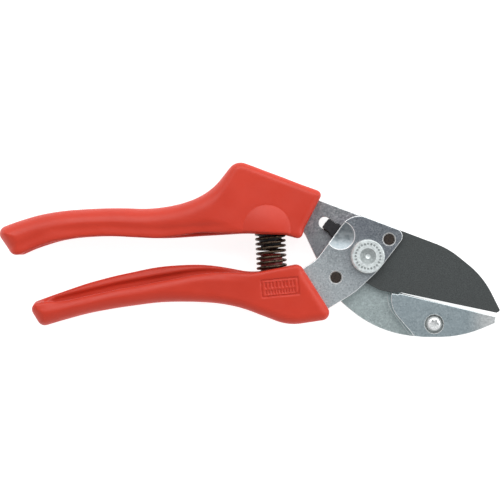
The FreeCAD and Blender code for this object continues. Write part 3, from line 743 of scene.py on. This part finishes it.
def make_spring():
    """Wire coil with closed end turns, tilted a little between the two handles."""
    wire, mean, turns, per_turn, sides = 0.6, 6.2, 13.2, 60, 14
    closed, closed_pitch, half_length = 0.8, 1.4, 12.4
    count = round(turns * per_turn)
    share = np.arange(count + 1) / count
    turn = 2 * math.pi * turns * share
    passed = share * turns
    body = np.clip((passed - closed) / (turns - 2 * closed), 0, 1)
    height = -half_length + 2 * half_length * body + (np.minimum(passed, closed) - closed) * closed_pitch
    height = height + np.maximum(passed - (turns - closed), 0) * closed_pitch
    line = np.stack([mean * np.cos(turn), mean * np.sin(turn), height], 1)
    tangent = np.gradient(line, axis=0)
    tangent /= np.linalg.norm(tangent, axis=1)[:, None]
    outward = np.stack([np.cos(turn), np.sin(turn), np.zeros_like(turn)], 1)
    outward -= (outward * tangent).sum(1)[:, None] * tangent
    outward /= np.linalg.norm(outward, axis=1)[:, None]
    across = np.cross(tangent, outward)
    rings = []
    for k in range(sides):
        a = 2 * math.pi * k / sides
        rings.append(line + wire * (outward * math.cos(a) + across * math.sin(a)))
    places = np.stack(rings, 1).reshape(-1, 3)
    faces = []
    for i in range(count):
        for k in range(sides):
            n = (k + 1) % sides
            faces.append((i * sides + k, i * sides + n, (i + 1) * sides + n, (i + 1) * sides + k))
    faces.append(tuple(range(sides - 1, -1, -1)))
    faces.append(tuple(count * sides + k for k in range(sides)))
    tilt = math.radians(SPRING_TILT)
    axis = np.array((-math.sin(tilt), math.cos(tilt), 0))
    level = np.array((math.cos(tilt), math.sin(tilt), 0))
    up = np.array((0, 0, -1.0))
    centre = np.array((SPRING_CENTRE[0], SPRING_CENTRE[1], GRIP_DEPTH / 2))
    world = centre + places[:, :1] * level + places[:, 1:2] * up + places[:, 2:] * axis
    return new_piece("spring_coil", world * MM, faces)


# ---------------------------------------------------------------- materials

class Paint:
    """A Principled material with helpers for procedural nodes."""

    def __init__(self, name, colour, roughness, metallic=0.0):
        self.material = bpy.data.materials.new(name)
        self.material.use_nodes = True
        self.tree = self.material.node_tree
        self.shader = self.tree.nodes["Principled BSDF"]
        self.shader.inputs["Base Color"].default_value = (*colour, 1)
        self.shader.inputs["Roughness"].default_value = roughness
        self.shader.inputs["Metallic"].default_value = metallic
        self.place = self.tree.nodes.new("ShaderNodeTexCoord").outputs["Object"]

    def node(self, kind, **settings):
        made = self.tree.nodes.new(kind)
        for key, value in settings.items():
            setattr(made, key, value)
        return made

    def link(self, source, target):
        self.tree.links.new(source, target)

    def stretched(self, x, y, z):
        made = self.node("ShaderNodeMapping")
        made.inputs["Scale"].default_value = (x, y, z)
        self.link(self.place, made.inputs["Vector"])
        return made.outputs["Vector"]

    def noise(self, scale, detail=4.0, rough=0.55, vector=None):
        made = self.node("ShaderNodeTexNoise")
        made.inputs["Scale"].default_value = scale
        made.inputs["Detail"].default_value = detail
        made.inputs["Roughness"].default_value = rough
        self.link(vector or self.place, made.inputs["Vector"])
        return made.outputs["Fac"]

    def cells(self, scale):
        made = self.node("ShaderNodeTexVoronoi")
        made.inputs["Scale"].default_value = scale
        self.link(self.place, made.inputs["Vector"])
        split = self.node("ShaderNodeSeparateColor")
        self.link(made.outputs["Color"], split.inputs["Color"])
        return split.outputs["Red"]

    def ramp(self, source, *stops):
        made = self.node("ShaderNodeValToRGB")
        elements = made.color_ramp.elements
        while len(elements) < len(stops):
            elements.new(0.5)
        for element, (at, colour) in zip(elements, stops):
            element.position = at
            element.color = (*colour, 1)
        self.link(source, made.inputs["Fac"])
        return made.outputs["Color"]

    def mix(self, share, a, b):
        made = self.node("ShaderNodeMix", data_type="RGBA")
        for source, name in ((share, 0), (a, 6), (b, 7)):
            if hasattr(source, "is_output"):
                self.link(source, made.inputs[name])
            elif name == 0:
                made.inputs[0].default_value = source
            else:
                made.inputs[name].default_value = (*source, 1)
        return made.outputs[2]

    def spread(self, source, low, high):
        made = self.node("ShaderNodeMapRange")
        made.inputs["From Min"].default_value = 0.3
        made.inputs["From Max"].default_value = 0.7
        made.inputs["To Min"].default_value = low
        made.inputs["To Max"].default_value = high
        self.link(source, made.inputs["Value"])
        return made.outputs["Result"]

    def colour(self, source):
        self.link(source, self.shader.inputs["Base Color"])

    def roughness(self, source):
        self.link(source, self.shader.inputs["Roughness"])

    def bump(self, source, strength, distance):
        made = self.node("ShaderNodeBump")
        made.inputs["Strength"].default_value = strength
        made.inputs["Distance"].default_value = distance
        self.link(source, made.inputs["Height"])
        self.link(made.outputs["Normal"], self.shader.inputs["Normal"])


def grip_paint():
    """Satin orange-red coating."""
    paint = Paint("grip_coating", (0.56, 0.04, 0.018), 0.42)
    cloud = paint.noise(35.0, 3.0)
    paint.colour(paint.ramp(cloud, (0.3, (0.55, 0.038, 0.018)), (0.7, (0.62, 0.046, 0.022))))
    paint.roughness(paint.spread(paint.noise(180.0), 0.36, 0.5))
    paint.bump(paint.noise(900.0, 5.0), 0.12, 0.0004)
    paint.shader.inputs["Specular IOR Level"].default_value = 0.36
    return paint.material


def zinc_layers(paint, dark, light, tint):
    """Crystal grain, slow clouds and fine scratches of galvanised steel."""
    grain = paint.noise(1500.0, 3.0, 0.7)
    base = paint.ramp(grain, (0.35, dark), (0.65, light))
    base = paint.mix(paint.spread(paint.cells(650.0), 0.0, 0.3), base, dark)
    base = paint.mix(paint.spread(paint.noise(70.0, 4.0), 0.0, 0.6), base, tint)
    scratches = paint.noise(260.0, 2.0, 0.5, paint.stretched(0.18, 3.0, 1.0))
    base = paint.mix(paint.spread(scratches, 0.0, 0.2), base, light)
    paint.roughness(paint.spread(grain, 0.27, 0.42))
    paint.bump(grain, 0.16, 0.0002)
    return base


def blend_along(paint, direction, start, finish, first, second):
    """Colour that passes from the first to the second along a direction of the object, in metres."""
    along = paint.node("ShaderNodeVectorMath", operation="DOT_PRODUCT")
    along.inputs[1].default_value = direction
    paint.link(paint.place, along.inputs[0])
    share = paint.node("ShaderNodeMapRange", interpolation_type="SMOOTHSTEP")
    share.inputs["From Min"].default_value = start
    share.inputs["From Max"].default_value = finish
    paint.link(along.outputs["Value"], share.inputs["Value"])
    return paint.mix(share.outputs["Result"], first, second)


def front_plate_paint():
    """Pale by the lower grip and darker and bluer by the blade."""
    paint = Paint("front_zinc", (0.4, 0.4, 0.42), 0.36, 0.8)
    pale = zinc_layers(paint, (0.38, 0.44, 0.46), (0.80, 0.86, 0.88), (0.62, 0.69, 0.72))
    deep = zinc_layers(paint, (0.10, 0.12, 0.14), (0.42, 0.46, 0.49), (0.22, 0.24, 0.28))
    paint.colour(blend_along(paint, (0.71, 0.71, 0), 0.012, 0.044, pale, deep))
    return paint.material


def rear_plate_paint():
    """Darker and bluer by the catch, where a reflection of something dark is painted, and paler on the
    lower jaw.
    """
    paint = Paint("rear_zinc", (0.4, 0.4, 0.42), 0.36, 0.8)
    pale = zinc_layers(paint, (0.42, 0.51, 0.51), (0.74, 0.85, 0.85), (0.58, 0.70, 0.69))
    deep = zinc_layers(paint, (0.14, 0.15, 0.17), (0.66, 0.67, 0.69), (0.37, 0.35, 0.40))
    tinge = paint.mix(paint.spread(paint.noise(110.0, 3.0), 0.0, 0.3), deep, (0.30, 0.40, 0.38))
    paint.colour(blend_along(paint, (0, 1, 0), -0.018, -0.002, pale, tinge))
    return paint.material


def anvil_paint():
    """Paler toward the tip: a painted reflection."""
    paint = Paint("anvil_zinc", (0.4, 0.4, 0.42), 0.36, 0.8)
    middle = zinc_layers(paint, (0.31, 0.39, 0.42), (0.55, 0.64, 0.67), (0.45, 0.55, 0.59))
    tip = zinc_layers(paint, (0.64, 0.68, 0.68), (0.92, 0.95, 0.95), (0.78, 0.82, 0.82))
    paint.colour(blend_along(paint, (1, 0, 0), 0.095, 0.105, middle, tip))
    return paint.material


def blade_paint():
    """Matt dark coating with a fine grain."""
    paint = Paint("blade_coating", (0.045, 0.050, 0.050), 0.55, 0.15)
    grain = paint.noise(2600.0, 3.0, 0.7)
    cloud = paint.noise(60.0, 3.0)
    base = paint.ramp(grain, (0.3, (0.024, 0.029, 0.030)), (0.7, (0.078, 0.088, 0.088)))
    base = paint.mix(paint.spread(cloud, 0.0, 0.3), base, (0.052, 0.055, 0.052))
    paint.colour(base)
    paint.roughness(paint.spread(grain, 0.48, 0.64))
    paint.bump(grain, 0.2, 0.0002)
    return paint.material


def plain_metal(name, dark, light, roughness, metallic=0.9, scale=900.0):
    """Metal with one fine grain between two colours."""
    paint = Paint(name, light, roughness, metallic)
    grain = paint.noise(scale, 4.0, 0.6)
    paint.colour(paint.ramp(grain, (0.35, dark), (0.65, light)))
    paint.roughness(paint.spread(grain, roughness - 0.07, roughness + 0.09))
    paint.bump(grain, 0.12, 0.0002)
    return paint.material


def plastic(name, dark, light, roughness):
    """Moulded plastic with one fine grain between two colours."""
    paint = Paint(name, light, roughness)
    grain = paint.noise(700.0, 4.0, 0.6)
    paint.colour(paint.ramp(grain, (0.35, dark), (0.65, light)))
    paint.roughness(paint.spread(grain, roughness - 0.06, roughness + 0.08))
    paint.bump(grain, 0.15, 0.0002)
    return paint.material


def wear(piece, *materials):
    """Gives a piece its materials, in the order of its face marks."""
    kept = [face.material_index for face in piece.data.polygons]
    piece.data.materials.clear()
    for material in materials:
        piece.data.materials.append(material)
    piece.data.polygons.foreach_set("material_index", kept)


def wear_node(name, material):
    """Gives a CAD piece another material and leaves its mesh alone."""
    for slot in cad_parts[name].material_slots:
        slot.link = "OBJECT"
        slot.material = material


# ---------------------------------------------------------------- assembly

def settle(piece, body, slot, materials, *nodes):
    """Finishes a piece that stands for CAD nodes and moves with one body."""
    wear(piece, *materials)
    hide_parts(*nodes)
    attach(piece, body)


def build_object():
    grip = [grip_paint()]
    # Pale zinc that paints a highlight along the rims; the anvil screw wears it all over.
    pale_zinc_highlight = plain_metal("pale_zinc_painted_highlight", (0.80, 0.82, 0.82), (0.95, 0.96, 0.96), 0.36, 0.35)
    # Darker zinc that paints shade in the recess round the anvil screw and in what is sunk in the bolt
    # head.
    recess_shade = plain_metal("painted_recess_shade", (0.26, 0.29, 0.29), (0.44, 0.48, 0.48), 0.5, 0.5)
    # Darker zinc that paints shade in the thumb dish and dims its reflection.
    dish_shade = plain_metal("dish_painted_shade", (0.22, 0.26, 0.28), (0.36, 0.40, 0.42), 0.36, 0.85, 500.0)
    front_zinc = [front_plate_paint(), pale_zinc_highlight, dish_shade]
    rear_zinc = [rear_plate_paint(), pale_zinc_highlight]
    anvil_zinc = [anvil_paint(), pale_zinc_highlight, recess_shade]
    bright = plain_metal("bright_zinc", (0.60, 0.65, 0.65), (0.80, 0.86, 0.86), 0.46, 0.5)
    dull = plain_metal("dull_zinc", (0.30, 0.32, 0.33), (0.46, 0.49, 0.50), 0.42, 0.7)
    black = [plastic("black_plastic", (0.004, 0.004, 0.006), (0.012, 0.012, 0.015), 0.55)]
    red = [plastic("red_plastic", (0.20, 0.014, 0.010), (0.30, 0.022, 0.014), 0.45)]
    settle(make_upper_grip(), "upper_handle", "grip_coat", grip, "upper_grip")
    settle(make_lower_grip(), "lower_handle", "grip_coat", grip, "lower_grip")
    settle(make_upper_plate(), "upper_handle", "zinc_steel", rear_zinc, "upper_frame")
    settle(make_lower_plate(), "lower_handle", "zinc_steel", front_zinc, "lower_frame")
    settle(make_blade(), "lower_handle", "blade_coat", [blade_paint()], "blade")
    settle(make_anvil(), "upper_handle", "zinc_steel", anvil_zinc, "anvil")
    settle(make_anvil_seat(), "upper_handle", "zinc_steel", rear_zinc, "anvil")
    settle(make_pivot_bolt(), "upper_handle", "plated_steel", [bright, recess_shade], "pivot_bolt")
    settle(make_washer(), "upper_handle", "plated_steel", [dull], "pivot_washer")
    settle(make_anvil_screw(), "upper_handle", "plated_steel", [pale_zinc_highlight], "anvil_screw")
    settle(make_latch(), "latch", "black_plastic", black, "latch_slider")
    settle(make_latch_boss(), "latch", "black_plastic", black, "latch_slider")
    buffer_peg = make_peg("buffer_peg", 15.6, 14.0, 2.0)
    settle(buffer_peg, "upper_handle", "black_plastic", black, "spring_buffer")
    red_peg = make_peg("red_peg", -15.6, 15.0, 0.8)
    settle(red_peg, "lower_handle", "red_plastic", red, "spring_peg")
    spring = make_spring()
    wear(spring, plain_metal("spring_bronze", (0.03, 0.024, 0.02), (0.12, 0.09, 0.06), 0.28, 0.9))
    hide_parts("return_spring")
    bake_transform(spring)
    rivet = plain_metal("rivet_brown", (0.012, 0.009, 0.007), (0.045, 0.030, 0.022), 0.55, 0.3, 1600.0)
    for name in ("blade_rivet_upper", "blade_rivet_lower"):
        wear_node(name, rivet)
    for name in ("pivot_shim", "pivot_spring_washer", "pivot_nut", "anvil_nut", "anvil_lock_washer"):
        wear_node(name, dull)
    wear_node("latch_button", black[0])


def make_floor():
    """Pale matt floor just under the shears, with a glow that keeps their shadows faint."""
    half = 1.6
    below = 0.0002
    places = [(-half, -half, -below), (half, -half, -below), (half, half, -below), (-half, half, -below)]
    floor = new_piece("floor", places, [(0, 1, 2, 3)], False)
    paint = Paint("floor_white", (0.5, 0.5, 0.5), 0.9)
    paint.colour(paint.ramp(paint.noise(3.0), (0.3, (0.46, 0.46, 0.46)), (0.7, (0.5, 0.5, 0.5))))
    paint.shader.inputs["Specular IOR Level"].default_value = 0.0
    paint.shader.inputs["Emission Color"].default_value = (1, 1, 1, 1)
    paint.shader.inputs["Emission Strength"].default_value = 0.87
    wear(floor, paint.material)


def make_light(name, place, target, width, height, power):
    data = bpy.data.lights.new(name, "AREA")
    data.shape = "RECTANGLE"
    data.size = width
    data.size_y = height
    data.energy = power
    light = bpy.data.objects.new(name, data)
    bpy.context.scene.collection.objects.link(light)
    light.location = place
    light.rotation_euler = (Vector(target) - Vector(place)).to_track_quat("-Z", "Y").to_euler()


def make_world():
    """Studio with a grey ceiling and a bright band round the horizon."""
    world = bpy.data.worlds.new("studio")
    world.use_nodes = True
    tree = world.node_tree
    place = tree.nodes.new("ShaderNodeTexCoord")
    split = tree.nodes.new("ShaderNodeSeparateXYZ")
    ramp = tree.nodes.new("ShaderNodeValToRGB")
    first, last = ramp.color_ramp.elements
    first.position = 0.35
    first.color = (1.0, 1.0, 1.0, 1)
    last.position = 0.9
    last.color = (0.38, 0.38, 0.39, 1)
    tree.links.new(place.outputs["Generated"], split.inputs["Vector"])
    tree.links.new(split.outputs["Z"], ramp.inputs["Fac"])
    background = tree.nodes["Background"]
    tree.links.new(ramp.outputs["Color"], background.inputs["Color"])
    background.inputs["Strength"].default_value = 0.75
    bpy.context.scene.world = world


def make_stage():
    """Floor, a wide soft key light from above the upper handle and a small one past the tip."""
    make_floor()
    make_light("key", (0.05, 0.68, 0.88), (0, 0, 0), 1.7, 0.7, 10.0)
    make_light("side", (0.9, 0.1, 0.5), (0, 0, 0), 0.5, 0.5, 2.5)
    make_world()
    bpy.context.scene.view_settings.view_transform = "Standard"


def make_camera():
    """Looks straight down at the front side, with the whole length across the picture."""
    data = bpy.data.cameras.new("camera")
    data.sensor_width = 36.0
    data.lens = 135.0
    camera = bpy.data.objects.new("camera", data)
    bpy.context.scene.collection.objects.link(camera)
    half_width = 0.110
    level = 0.012
    distance = half_width * data.lens / (data.sensor_width / 2)
    camera.location = (0.0, 0.0002, level + distance)
    bpy.context.scene.camera = camera


build_object()
make_stage()
make_camera()
